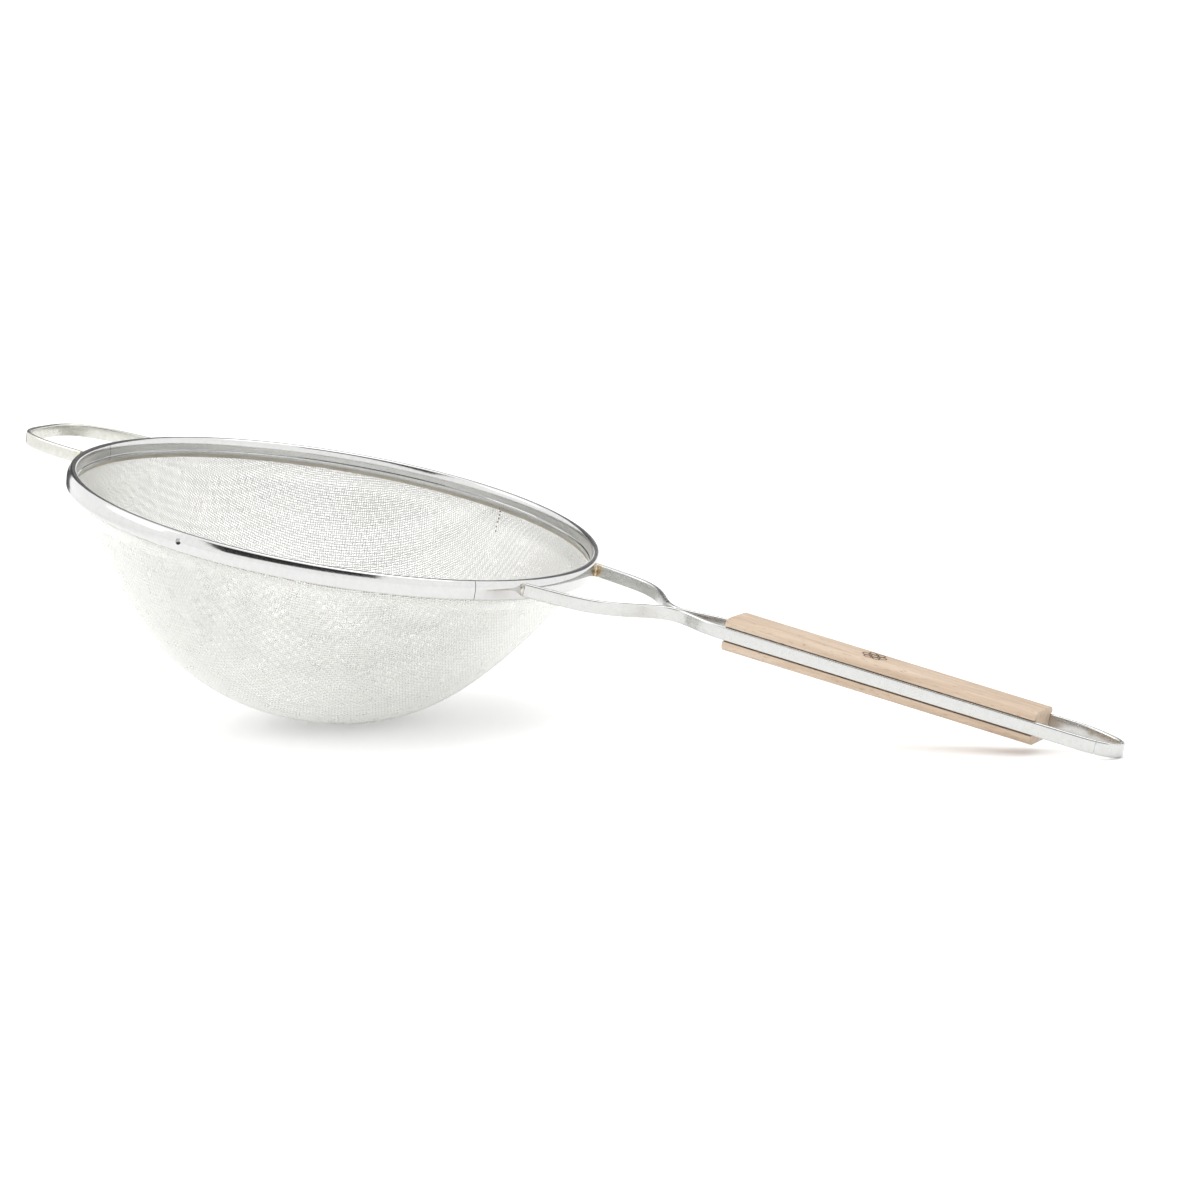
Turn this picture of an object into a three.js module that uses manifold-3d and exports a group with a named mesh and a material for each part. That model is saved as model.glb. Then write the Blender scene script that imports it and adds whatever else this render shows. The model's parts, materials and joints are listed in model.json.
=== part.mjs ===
// Double sieve strainer for honey.
//
// A deep wire-cloth bowl in two layers, coarse outside and fine inside, is clamped in a folded
// sheet-metal rim. A flat strap leaves the rim as a fork, closes to a neck, runs along both sides
// of a wooden grip and ends in a hanging loop. A second, shorter loop opposite the handle rests
// on the edge of a pail.
//
// Everything is drawn in the rim's own frame: millimetres, +Z up through the bowl's mouth, the
// rim's top ridge at z = 0 and the handle along +X. At the end the whole strainer is laid down on
// its bowl and its hanging loop, the way it lies on a table.

import * as THREE from 'three';
import { mergeVertices } from 'three/addons/utils/BufferGeometryUtils.js';
import Module from 'manifold-3d';

const wasm = await Module();
wasm.setup();

// ---- driving dimensions, millimetres and degrees -------------------------------------------

const GAP = 0.3;                 // clearance left between pieces that touch on the real thing
const ROUND_STEPS = 60;          // facets round the bowl and the rim

const RIM_RADIUS = 131.5;        // outside of the folded rim
const RIM_WIDTH = 4.9;           // across the fold
const RIM_HEIGHT = 8.8;
const RIM_SHEET = 0.7;           // thickness of the rim's sheet
const RIM_SEAMS = [-174.8, -29.3];   // the two butt seams, degrees round from the handle
const VENT = { angle: -92.5, radius: 1.5, drop: 4.2 };

const BOWL_RADIUS = 123.5;       // where the wall would reach the top of the curve
const BOWL_TOP = 10.8;           // the curve's top, below the rim's ridge
const BOWL_DEPTH = 104.8;
const BOWL_ROUNDNESS = 2.49;     // 2 is an ellipse; more makes the floor flatter
const BOWL_FULLNESS = 1.08;      // less than 2 makes the wall lean in early
const BOWL_LEAN = 2.05;          // the drawn cloth bulges this much towards the front loop
const HEM_RADIUS = 129.5;        // outer face of the coarse cloth where the rim holds it
const HEM_TOP = 3.6;
const HEM_BEND = 10.4;
const COARSE_CLOTH = 1.0;        // thickness of the woven layers
const FINE_CLOTH = 0.5;
const LAYER_GAP = 0.4;

const STRAP_HEIGHT = 6.5;
const STRAP_THICK = 2.4;
const STRAP_ROUND = 1.1;         // corner radius of the strap's section
const HANDLE_TOP = 0.92;         // strap's upper edge below the rim's ridge, at the fork
const HANDLE_DROP = 0.33;        // degrees the handle falls away from the rim's plane
const FORK_X = 130;              // the handle frame's origin, at the rim
// Centre line of one half of the strap, from the rim to the grip, and of the hanging loop from
// its far side round to its near side. The straps run straight between the two.
const STRAP_LINE = [
  [126.6, 37.6], [138, 36.0], [150, 33.8], [158, 30.8], [165.5, 25.2], [172.5, 16.8], [178.5, 8.6],
  [183.5, 3.6], [188, 1.6], [193, 1.9], [199, 3.9], [205, 6.0], [210.5, 7.3], [216.5, 7.8],
  [222, 7.95],
];
const LOOP_LINE = [
  [384, 11.1], [390, 10.6], [395, 9.3], [400, 7.5], [404.5, 5.3], [408.4, 2.8], [410.9, -0.4],
  [411.0, -4.2], [408.6, -7.6], [404, -10.0], [398, -11.0], [391, -11.2], [384, -11.1],
];
const STRAP_SEAM_X = 402;        // butt seam in the near side of the hanging loop

const GRIP_START = 217;
const GRIP_END = 372.5;
const GRIP_ABOVE = 3.9;          // wood above the strap's upper edge
const GRIP_RISE = 1.9;            // how much higher the wood stands at its front end
const GRIP_BELOW = 5.0;
const GRIP_CORNER = 3.6;         // corner radius of the grip's section
const GRIP_NOSE = 3.5;           // rounding of the top of its front end
const GROOVE_PLAY = 0.55;        // above and below the strap in its groove

const FRONT_X = -130;            // the front loop's own origin, at the rim
const FRONT = { half: 33.2, length: 75, start: 99.3, squareness: 3.4, top: 2.0, drop: 1.5 };

const REST_TILT = 13.6875;       // the handle's fall when the strainer lies on a flat surface
const REST_LEVEL = -106.05;      // that surface, below the rim's centre once the strainer is tilted

// ---- materials -------------------------------------------------------------------------------

const material = (color, roughness, metalness) =>
  new THREE.MeshStandardMaterial({ color, roughness, metalness });
const polishedSteel = () => material(0xd5d7d9, 0.18, 1.0);
const wireCloth = () => material(0xc9c9c4, 0.45, 0.9);
const beech = () => material(0xe3cbb0, 0.62, 0.0);

// ---- helpers ---------------------------------------------------------------------------------

const radians = THREE.MathUtils.degToRad;
const halfStrap = STRAP_HEIGHT / 2;

/** A closed geometry as a manifold solid: shared corners merged, empty triangles dropped. */
function solid(geometry) {
  const bare = geometry.clone();
  bare.deleteAttribute('normal');
  bare.deleteAttribute('uv');
  const merged = mergeVertices(bare, 1e-4);
  const corners = [];
  for (let i = 0; i < merged.index.count; i += 3) {
    const [a, b, c] = [0, 1, 2].map((k) => merged.index.getX(i + k));
    if (a !== b && b !== c && c !== a) corners.push(a, b, c);
  }
  return new wasm.Manifold(new wasm.Mesh({
    numProp: 3,
    vertProperties: new Float32Array(merged.attributes.position.array),
    triVerts: new Uint32Array(corners),
  }));
}

/** A named mesh from a manifold solid. */
function meshOf(name, shape, look) {
  const { vertProperties, triVerts } = shape.getMesh();
  const geometry = new THREE.BufferGeometry();
  geometry.setAttribute('position', new THREE.BufferAttribute(vertProperties, 3));
  geometry.setIndex(new THREE.BufferAttribute(triVerts, 1));
  geometry.computeVertexNormals();
  const mesh = new THREE.Mesh(geometry, look);
  mesh.name = name;
  return mesh;
}

/** A profile of [radius, height] points turned round the Z axis, a facet's middle on the X axis. */
function turned(profile) {
  const points = profile.map(([r, z]) => new THREE.Vector2(r, z));
  return new THREE.LatheGeometry(points, ROUND_STEPS, Math.PI / ROUND_STEPS).rotateX(Math.PI / 2);
}

/** Points on an arc in a profile plane, angles in degrees. */
function arc(cx, cy, radius, from, to, steps) {
  return Array.from({ length: steps + 1 }, (_, i) => {
    const a = radians(from + ((to - from) * i) / steps);
    return [cx + radius * Math.cos(a), cy + radius * Math.sin(a)];
  });
}

/** A rectangle with rounded corners, its centre at a height on the second axis. */
function roundedRectangle(width, height, radius, level = 0, steps = 2) {
  const x = width / 2 - radius;
  const y = height / 2 - radius;
  const outline = [
    ...arc(x, level + y, radius, 0, 90, steps),
    ...arc(-x, level + y, radius, 90, 180, steps),
    ...arc(-x, level - y, radius, 180, 270, steps),
    ...arc(x, level - y, radius, 270, 360, steps),
  ];
  return new THREE.Shape(outline.map(([u, v]) => new THREE.Vector2(u, v)));
}

/** The flat strap swept along a level line of [x, y] points; it stands on edge. */
function sweptStrap(line, steps) {
  const points = line.map(([x, y]) => new THREE.Vector3(x, y, 0));
  const path = new THREE.CatmullRomCurve3(points, false, 'centripetal');
  const section = roundedRectangle(STRAP_HEIGHT, STRAP_THICK, STRAP_ROUND);
  return solid(new THREE.ExtrudeGeometry(section, { steps, extrudePath: path, bevelEnabled: false }));
}

// ---- bowl ------------------------------------------------------------------------------------

/** Radius of the bowl's outer face at a depth below the rim's ridge. */
function bowlRadius(depth) {
  const fall = (depth - BOWL_TOP) / (BOWL_DEPTH - BOWL_TOP);
  return BOWL_RADIUS * Math.max(0, 1 - fall ** BOWL_FULLNESS) ** (1 / BOWL_ROUNDNESS);
}

/** Points of the outer face, from the bottom's centre up into the rim. */
function bowlPoints() {
  const depths = [103, 99.95, 95, 87.5, 78, 66, 53, 40, 28, 18];
  return [
    [0, -BOWL_DEPTH],
    [14, -BOWL_DEPTH + 0.2],
    ...depths.map((depth) => [bowlRadius(depth), -depth]),
    [HEM_RADIUS - 4.6, -HEM_BEND - 3.2],
    [HEM_RADIUS - 0.4, -HEM_BEND],
    [HEM_RADIUS, -HEM_BEND + 2],
    [HEM_RADIUS, -HEM_TOP],
  ].map(([r, z]) => new THREE.Vector2(r, z));
}

/** The outer face moved inwards by a distance, as [radius, height] points. */
function bowlFace(inset) {
  const points = bowlPoints();
  const line = new THREE.SplineCurve(points);
  return points.map((at, i) => {
    const along = line.getTangent(i / (points.length - 1));
    const onAxis = i === 0;
    return [onAxis ? 0 : at.x - along.y * inset, at.y + (onAxis ? inset : along.x * inset)];
  });
}

/** One layer of wire cloth as a closed shell, bulged towards the front loop. */
function clothLayer(name, inset, thick) {
  const shell = turned([...bowlFace(inset), ...bowlFace(inset + thick).reverse()]);
  const place = shell.attributes.position;
  for (let i = 0; i < place.count; i += 1) {
    const fall = THREE.MathUtils.clamp((-place.getZ(i) - HEM_BEND) / (BOWL_DEPTH - HEM_BEND), 0, 1);
    place.setX(i, place.getX(i) - BOWL_LEAN * Math.sin(Math.PI * fall));
  }
  return meshOf(name, solid(shell).subtract(table()), wireCloth());
}

/** The space under the surface the strainer lies on; the cloth gives a little where it rests. */
function table() {
  const depth = 20;
  const block = new THREE.BoxGeometry(2 * RIM_RADIUS, 2 * RIM_RADIUS, depth);
  return solid(block.translate(0, 0, REST_LEVEL - depth / 2).rotateY(-radians(REST_TILT)));
}

// ---- rim -------------------------------------------------------------------------------------

/** The folded channel: two legs joined by a round top, open underneath. */
function rimChannel() {
  const middle = RIM_RADIUS - RIM_WIDTH / 2;
  const outer = RIM_WIDTH / 2;
  const inner = outer - RIM_SHEET;
  return solid(turned([
    [middle + outer, -RIM_HEIGHT],
    ...arc(middle, -outer, outer, 0, 180, 8),
    [middle - outer, -RIM_HEIGHT],
    [middle - inner, -RIM_HEIGHT],
    ...arc(middle, -outer, inner, 180, 0, 6),
    [middle + inner, -RIM_HEIGHT],
    [middle + outer, -RIM_HEIGHT],
  ]));
}

/** A wedge of space round the Z axis, from one angle to another, degrees. */
function wedge(from, to) {
  const steps = Math.ceil((to - from) / 20);
  const outline = [[0, 0], ...arc(0, 0, 2 * RIM_RADIUS, from, to, steps)];
  const shape = new THREE.Shape(outline.map(([x, y]) => new THREE.Vector2(x, y)));
  const block = new THREE.ExtrudeGeometry(shape, { depth: 4 * RIM_HEIGHT, bevelEnabled: false });
  return solid(block.translate(0, 0, -3 * RIM_HEIGHT));
}

/** The vent: a small round hole through the rim's outer leg only. */
function ventDrill() {
  const angle = radians(VENT.angle);
  const reach = RIM_RADIUS - RIM_SHEET / 2;
  const drill = new THREE.CylinderGeometry(VENT.radius, VENT.radius, 3 * RIM_SHEET, 16)
    .rotateZ(Math.PI / 2)
    .rotateZ(angle)
    .translate(reach * Math.cos(angle), reach * Math.sin(angle), -VENT.drop);
  return solid(drill);
}

function rimHalves() {
  const half = THREE.MathUtils.radToDeg(GAP / 2 / RIM_RADIUS);
  const [left, right] = RIM_SEAMS;
  const channel = rimChannel();
  const near = channel.intersect(wedge(left + half, right - half)).subtract(ventDrill());
  const far = channel.intersect(wedge(right + half, left + 360 - half));
  return [meshOf('rim_near', near, polishedSteel()), meshOf('rim_far', far, polishedSteel())];
}

// ---- front loop ------------------------------------------------------------------------------

/** The rest loop: a U of strap standing on edge, its ends against the rim. */
function frontLoop() {
  const { half, length, start, squareness } = FRONT;
  const quarter = (a) => [
    -start - length * Math.cos(a) ** (2 / squareness),
    half * Math.sin(a) ** (2 / squareness),
  ];
  const touches = ([x, y]) => Math.hypot(x, y) > RIM_RADIUS + GAP + 0.5;
  const side = Array.from({ length: 31 }, (_, i) => quarter((Math.PI / 2) * (i / 30))).filter(touches);
  const far = side.map(([x, y]) => [x - FRONT_X, y]);
  const near = far.slice(1).map(([x, y]) => [x, -y]);
  const line = [...far.reverse(), ...near];
  return meshOf('front_rest_loop', sweptStrap(line, 30), polishedSteel());
}

// ---- handle ----------------------------------------------------------------------------------

/** Distance of a strap's centre line from the middle, beside the grip. */
function strapSide(x) {
  const [neckX, neckY] = STRAP_LINE.at(-1);
  const [loopX, loopY] = LOOP_LINE[0];
  return neckY + ((loopY - neckY) * (x - neckX)) / (loopX - neckX);
}

/** Centre line of the whole strap, from the far side of the fork round the loop to the near side. */
function strapLine() {
  const side = [...STRAP_LINE, ...[250, 300, 350].map((x) => [x, strapSide(x)])];
  const mirrored = side.map(([x, y]) => [x, -y]).reverse();
  return [...side, ...LOOP_LINE, ...mirrored].map(([x, y]) => [x - FORK_X, y]);
}

/** The two straps: the far one carries the hanging loop and meets the near one at the butt seam. */
function straps() {
  const line = strapLine();
  const seam = line.findLastIndex(([x, y]) => y < 0 && x > STRAP_SEAM_X - FORK_X);
  const [a, b] = [line[seam], line[seam + 1]];
  const share = (a[0] - (STRAP_SEAM_X - FORK_X)) / (a[0] - b[0]);
  const at = (t) => [a[0] + (b[0] - a[0]) * t, a[1] + (b[1] - a[1]) * t];
  const gapShare = GAP / 2 / Math.hypot(b[0] - a[0], b[1] - a[1]);
  const far = sweptStrap([...line.slice(0, seam + 1), at(share - gapShare)], 64);
  const near = sweptStrap([at(share + gapShare), ...line.slice(seam + 1)], 44);
  return [meshOf('strap_near', near, polishedSteel()), meshOf('strap_far', far, polishedSteel())];
}

/** Half-width of the grip at x, measured to the strap's outer face. */
function gripHalf(x) {
  return strapSide(x) + STRAP_THICK / 2;
}

/** The grip's bar, a little wider at its end than at its nose, and a little lower. */
function gripBar(top, bottom, length) {
  const [width, height, level] = [2 * gripHalf(GRIP_START), top - bottom, (top + bottom) / 2];
  const section = roundedRectangle(width, height, GRIP_CORNER, level, 5);
  const bar = new THREE.ExtrudeGeometry(section, { depth: length, steps: 1, bevelEnabled: false })
    .rotateX(Math.PI / 2)
    .rotateZ(Math.PI / 2);
  const place = bar.attributes.position;
  for (let i = 0; i < place.count; i += 1) {
    const x = place.getX(i);
    const wider = gripHalf(GRIP_START + x) / gripHalf(GRIP_START);
    place.setY(i, place.getY(i) * wider);
    if (place.getZ(i) > 0) place.setZ(i, place.getZ(i) + GRIP_RISE * (1 - x / length));
  }
  return solid(bar);
}

/** What the grip keeps of its bar, seen from the side: the top of the nose is rounded off. */
function noseMould(top, bottom, length) {
  const outline = [
    [length + 1, bottom - 1], [length + 1, top + 1], [GRIP_NOSE, top + 1],
    ...arc(GRIP_NOSE, top - GRIP_NOSE, GRIP_NOSE, 90, 180, 6), [0, bottom - 1],
  ];
  const shape = new THREE.Shape(outline.map(([x, z]) => new THREE.Vector2(x, z)));
  const depth = 4 * gripHalf(GRIP_END);
  const block = new THREE.ExtrudeGeometry(shape, { depth, bevelEnabled: false });
  return solid(block.rotateX(Math.PI / 2).translate(0, depth / 2, 0));
}

/** The block that cuts the groove on one side; its inner face follows the strap. */
function grooveCutter(side, length) {
  const floor = (x) => gripHalf(x) - STRAP_THICK - GAP;
  const run = Math.atan2(floor(GRIP_END) - floor(GRIP_START), length);
  const width = 2 * gripHalf(GRIP_END);
  const block = new THREE.BoxGeometry(length + 20, width, STRAP_HEIGHT + 2 * GROOVE_PLAY);
  return solid(block
    .translate(length / 2, (side * width) / 2, 0)
    .rotateZ(side * run)
    .translate(0, side * floor(GRIP_START), 0));
}

/** The wooden grip: a rounded bar with a groove down each side for the straps. */
function grip() {
  const top = halfStrap + GRIP_ABOVE;
  const bottom = -halfStrap - GRIP_BELOW;
  const length = GRIP_END - GRIP_START;
  const shape = gripBar(top, bottom, length)
    .intersect(noseMould(top + GRIP_RISE, bottom, length))
    .subtract(grooveCutter(1, length))
    .subtract(grooveCutter(-1, length));
  const mesh = meshOf('wood_grip', shape, beech());
  mesh.position.x = GRIP_START - FORK_X;
  return mesh;
}

// ---- assembly --------------------------------------------------------------------------------

const strainer = new THREE.Group();
strainer.add(
  clothLayer('coarse_cloth', 0, COARSE_CLOTH),
  clothLayer('fine_cloth', COARSE_CLOTH + LAYER_GAP, FINE_CLOTH),
  ...rimHalves(),
);

const front = new THREE.Group();
front.position.set(FRONT_X, 0, -FRONT.top - halfStrap);
front.rotation.y = radians(-FRONT.drop);
front.add(frontLoop());

const handle = new THREE.Group();
handle.position.set(FORK_X, 0, -HANDLE_TOP - halfStrap);
handle.rotation.y = radians(HANDLE_DROP);
handle.add(...straps(), grip());
strainer.add(front, handle);

// Lay it down, then stand the origin under the middle of its box.
strainer.rotation.y = radians(REST_TILT);
const laid = new THREE.Group();
laid.add(strainer);
laid.updateMatrixWorld(true);
const box = new THREE.Box3().setFromObject(laid, true);
strainer.position.set(-(box.min.x + box.max.x) / 2, 0, -box.min.z);

export default laid;
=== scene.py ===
# %% [markdown]
# # A double honey strainer
# The object is a bowl of wire cloth in two layers, a folded rim, a flat strap handle with a
# wooden grip, and a short loop at the front that rests on a pail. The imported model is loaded
# first. It is a fixed frame: nothing in it moves, and every new piece is built where it says.

# %% Load the frame
import json
import math
import bpy
import numpy as np
from mathutils import Matrix, Vector


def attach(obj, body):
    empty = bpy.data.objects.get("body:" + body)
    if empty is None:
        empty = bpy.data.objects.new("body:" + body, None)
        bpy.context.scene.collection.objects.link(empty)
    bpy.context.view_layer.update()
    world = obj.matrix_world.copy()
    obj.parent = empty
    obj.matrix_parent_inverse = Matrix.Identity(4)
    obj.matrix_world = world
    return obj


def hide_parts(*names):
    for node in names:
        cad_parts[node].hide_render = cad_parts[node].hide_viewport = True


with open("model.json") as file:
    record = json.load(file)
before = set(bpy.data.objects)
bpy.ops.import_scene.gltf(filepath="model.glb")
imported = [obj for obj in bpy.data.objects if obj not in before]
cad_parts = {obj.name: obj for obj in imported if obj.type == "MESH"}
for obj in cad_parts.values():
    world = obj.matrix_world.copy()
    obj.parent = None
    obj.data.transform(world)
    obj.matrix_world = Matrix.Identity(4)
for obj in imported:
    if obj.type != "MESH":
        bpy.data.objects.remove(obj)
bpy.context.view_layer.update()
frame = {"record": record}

# %% [markdown]
# ## Two ways to look at the same strainer
# A strainer is easiest to model level: the rim's top ridge at height 0, the bowl hanging below
# it, the handle along +X. Lying on a table it leans on its bowl, so one matrix lays the level
# strainer down. A second matrix places what is drawn along the handle, which droops by a third
# of a degree, and a third does the same for the front loop. The lean is read from the grip's
# mount in the record: the grip's top also falls a little, because the grip gets lower towards
# its end. The rim's centre stands above the table by the depth of the bowl.

# %% Matrices from drawing to table
MM = 0.001
HANDLE_DROP = math.radians(0.33)
GRIP_RISE, GRIP_START, GRIP_END = 1.9, 217.0, 372.5
GRIP_FALL = math.atan2(GRIP_RISE, GRIP_END - GRIP_START)
FRONT_DROP = math.radians(1.5)
grip_axis = Vector(frame["record"]["mounts"][0]["axis"])
LEAN = math.atan2(grip_axis.x, grip_axis.z) - HANDLE_DROP - GRIP_FALL
RIM_CENTRE = Vector((-113.553, 0.0, 106.051)) * MM
LAID = Matrix.Translation(RIM_CENTRE) @ Matrix.Rotation(LEAN, 4, "Y")
HANDLE = LAID @ Matrix.Translation(Vector((130.0, 0, -4.17)) * MM) @ Matrix.Rotation(HANDLE_DROP, 4, "Y")
FRONT = LAID @ Matrix.Translation(Vector((-130.0, 0, -5.25)) * MM) @ Matrix.Rotation(-FRONT_DROP, 4, "Y")
print("the strainer leans", round(math.degrees(LEAN), 2), "degrees")


# %% [markdown]
# ## Small helpers
# An operator works on everything that is selected, so each step starts with nothing selected.
# A finished piece keeps its place in its mesh: the matrix goes into the vertices, and the
# object stays at the origin.

# %% Select, finish, measure
def nobody():
    """Leaves edit mode and deselects everything."""
    if bpy.context.object and bpy.context.object.mode != "OBJECT":
        bpy.ops.object.mode_set(mode="OBJECT")
    bpy.ops.object.select_all(action="DESELECT")


def only(piece):
    """Makes one object the selected and active one."""
    nobody()
    piece.select_set(True)
    bpy.context.view_layer.objects.active = piece
    return piece


def finished(piece, name, place, angle=40.0):
    """Names a piece, lays it in its place and smooths what is rounder than an angle."""
    only(piece)
    bpy.ops.object.transform_apply(location=True, rotation=True, scale=True)
    piece.data.transform(place)
    piece.data.update()
    piece.name = name
    piece.data.name = name
    bpy.ops.object.shade_smooth_by_angle(angle=math.radians(angle))
    report(piece)
    return piece


def report(piece):
    """Prints a piece's size in millimetres and how many triangles it has."""
    corners = np.empty(len(piece.data.vertices) * 3)
    piece.data.vertices.foreach_get("co", corners)
    corners = corners.reshape(-1, 3)
    low, high = corners.min(0), corners.max(0)
    piece.data.calc_loop_triangles()
    size = np.round((high - low) / MM, 1)
    lowest = round(low[2] / MM, 2)
    print(piece.name, "size", size, "lowest", lowest, "triangles", len(piece.data.loop_triangles))


def apply_all(piece):
    """Applies a piece's modifiers from first to last."""
    only(piece)
    for modifier in list(piece.modifiers):
        bpy.ops.object.modifier_apply(modifier=modifier.name)
    return piece


def pick(piece, keep):
    """In edit mode, selects the vertices for which keep(place) is true."""
    bpy.ops.mesh.select_mode(type="VERT")
    bpy.ops.mesh.select_all(action="DESELECT")
    bpy.ops.object.mode_set(mode="OBJECT")
    for vertex in piece.data.vertices:
        vertex.select = bool(keep(vertex.co))
    bpy.ops.object.mode_set(mode="EDIT")


# %% [markdown]
# ## The camera
# The camera looks from the near side, a little above the rim, with a long lens, so that the
# bowl keeps its shape. The camera's place and its three directions are given for the level
# strainer and laid down with it.

# %% Camera
CAMERA_PLACE = Vector((836.3, -1504.4, 384.4)) * MM
CAMERA_RIGHT = Vector((0.8767, 0.4473, 0.1769))
CAMERA_DOWN = Vector((0.2598, -0.1309, -0.9568))

camera_data = bpy.data.cameras.new("camera")
camera_data.lens = 108.0
camera_data.sensor_width = 36.0
camera_data.clip_start = 0.05
camera_data.clip_end = 60.0
camera = bpy.data.objects.new("camera", camera_data)
bpy.context.scene.collection.objects.link(camera)
back = CAMERA_RIGHT.cross(-CAMERA_DOWN)
turn = Matrix((CAMERA_RIGHT, -CAMERA_DOWN, back)).transposed().to_4x4()
camera.matrix_world = LAID @ Matrix.Translation(CAMERA_PLACE) @ turn
bpy.context.scene.camera = camera
print("camera at", [round(v, 3) for v in camera.matrix_world.translation])

# %% [markdown]
# ## The rim
# The real rim is a strip of sheet steel folded over the edge of the cloth and closed: a round
# top, a tall outer face and a shorter inner lip. It could be swept along a circle curve. Here its
# section is cut from a plane and spun round the bowl's axis, because a spin leaves clean rows of
# faces that carry a polished highlight. The rim is made of two strips that meet at two seams, so
# the section is spun twice.

# %% The rim's section
RIM_RADIUS = 131.5 * MM
RIM_WIDTH = 4.9 * MM
RIM_HEIGHT = 8.8 * MM
RIM_SHOULDER = 3.4 * MM
RIM_CREASE = 6.3 * MM
OUTER_LEAN = 1.25 * MM
INNER_LEAN = 0.7 * MM
TINY = 0.1 * MM
RIM_STEP = math.radians(1.5)
SEAM_GAP = math.radians(0.07)
SEAMS = [math.radians(-174.8), math.radians(-29.3)]


def rim_section():
    """The rim's section at the handle, standing on the XZ plane, in edit mode."""
    nobody()
    middle = RIM_RADIUS - RIM_WIDTH / 2
    bpy.ops.mesh.primitive_plane_add(size=1, location=(middle, 0, -RIM_HEIGHT / 2),
                                     rotation=(math.pi / 2, 0, 0))
    section = bpy.context.object
    section.scale = (RIM_WIDTH, RIM_HEIGHT, 1)
    bpy.ops.object.transform_apply(location=True, rotation=True, scale=True)
    bpy.ops.object.mode_set(mode="EDIT")
    bpy.ops.mesh.select_all(action="SELECT")
    bpy.ops.mesh.bisect(plane_co=(0, 0, -RIM_SHOULDER), plane_no=(0, 0, 1))
    for face, lean in ((RIM_RADIUS, -OUTER_LEAN), (RIM_RADIUS - RIM_WIDTH, INNER_LEAN)):
        pick(section, lambda co: co.z > -TINY and abs(co.x - face) < TINY)
        bpy.ops.transform.translate(value=(lean, 0, 0))
    pick(section, lambda co: co.z > -TINY)
    bpy.ops.mesh.bevel(offset=1.0 * MM, segments=7, affect="VERTICES")
    pick(section, lambda co: abs(co.z + RIM_SHOULDER) < TINY)
    bpy.ops.mesh.bevel(offset=1.3 * MM, segments=5, affect="VERTICES")
    pick(section, lambda co: co.z < -RIM_HEIGHT + TINY)
    bpy.ops.mesh.bevel(offset=0.9 * MM, segments=4, affect="VERTICES")
    crease(section, -RIM_CREASE, RIM_RADIUS - RIM_WIDTH, 0.5 * MM)
    return section


def crease(section, height, radius, depth):
    """A shallow valley round one face of the rim, at a height below the ridge."""
    width = 0.45 * MM
    for level in (height + width, height, height - width):
        bpy.ops.mesh.select_all(action="SELECT")
        bpy.ops.mesh.bisect(plane_co=(0, 0, level), plane_no=(0, 0, 1))
    pick(section, lambda co: abs(co.z - height) < width / 2 and abs(co.x - radius) < 0.2 * MM)
    bpy.ops.transform.translate(value=(depth, 0, 0))


# %% Spin the two strips
def rim_strip(start, end):
    """One strip of the rim, spun from one seam to the other."""
    section = rim_section()
    bpy.ops.object.mode_set(mode="OBJECT")
    section.data.transform(Matrix.Rotation(start, 4, "Z"))
    bpy.ops.object.mode_set(mode="EDIT")
    bpy.ops.mesh.select_all(action="SELECT")
    steps = round((end - start) / RIM_STEP)
    bpy.ops.mesh.spin(steps=steps, angle=end - start, center=(0, 0, 0), axis=(0, 0, -1))
    bpy.ops.mesh.select_all(action="SELECT")
    bpy.ops.mesh.remove_doubles(threshold=0.005 * MM)
    bpy.ops.mesh.normals_make_consistent(inside=False)
    bpy.ops.object.mode_set(mode="OBJECT")
    return section


def open_edges(piece):
    """Counts the edges that don't have exactly two faces."""
    only(piece)
    bpy.ops.object.mode_set(mode="EDIT")
    bpy.ops.mesh.select_mode(type="EDGE")
    bpy.ops.mesh.select_all(action="DESELECT")
    bpy.ops.mesh.select_non_manifold()
    bpy.ops.object.mode_set(mode="OBJECT")
    return sum(edge.select for edge in piece.data.edges)


near_rim = rim_strip(SEAMS[0] + SEAM_GAP, SEAMS[1] - SEAM_GAP)
far_rim = rim_strip(SEAMS[1] + SEAM_GAP, SEAMS[0] + 2 * math.pi - SEAM_GAP)
print("open edges", open_edges(near_rim), open_edges(far_rim))
print("face normals point out:", [sum(p.normal.dot(p.center.normalized()) > 0 for p in s.data.polygons)
                                  for s in (near_rim, far_rim)])

# %% [markdown]
# ## The vent
# A small round hole in the outer face lets the fold breathe and drain. A real one is drilled, so
# a short cylinder is taken away with a Boolean modifier.

# %% Drill the vent
VENT_TURN = math.radians(-92.5)
nobody()
bpy.ops.mesh.primitive_cylinder_add(vertices=32, radius=1.5 * MM, depth=3.4 * MM,
                                    location=(RIM_RADIUS, 0, -4.2 * MM), rotation=(0, math.pi / 2, 0))
vent_drill = bpy.context.object
bpy.ops.object.transform_apply(location=True, rotation=True, scale=True)
vent_drill.data.transform(Matrix.Rotation(VENT_TURN, 4, "Z"))
cut = near_rim.modifiers.new("vent", "BOOLEAN")
cut.object = vent_drill
cut.solver = "EXACT"
apply_all(near_rim)
bpy.data.objects.remove(vent_drill)
finished(near_rim, "near_rim", LAID, angle=35)
finished(far_rim, "far_rim", LAID, angle=35)

# %% [markdown]
# ## The hem
# Below the inner lip a narrow band of the cloth's pressed hem shows. It is one ring. A cylinder
# without ends is a quick start: it gets its thickness from Solidify and soft edges from Bevel.

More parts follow.
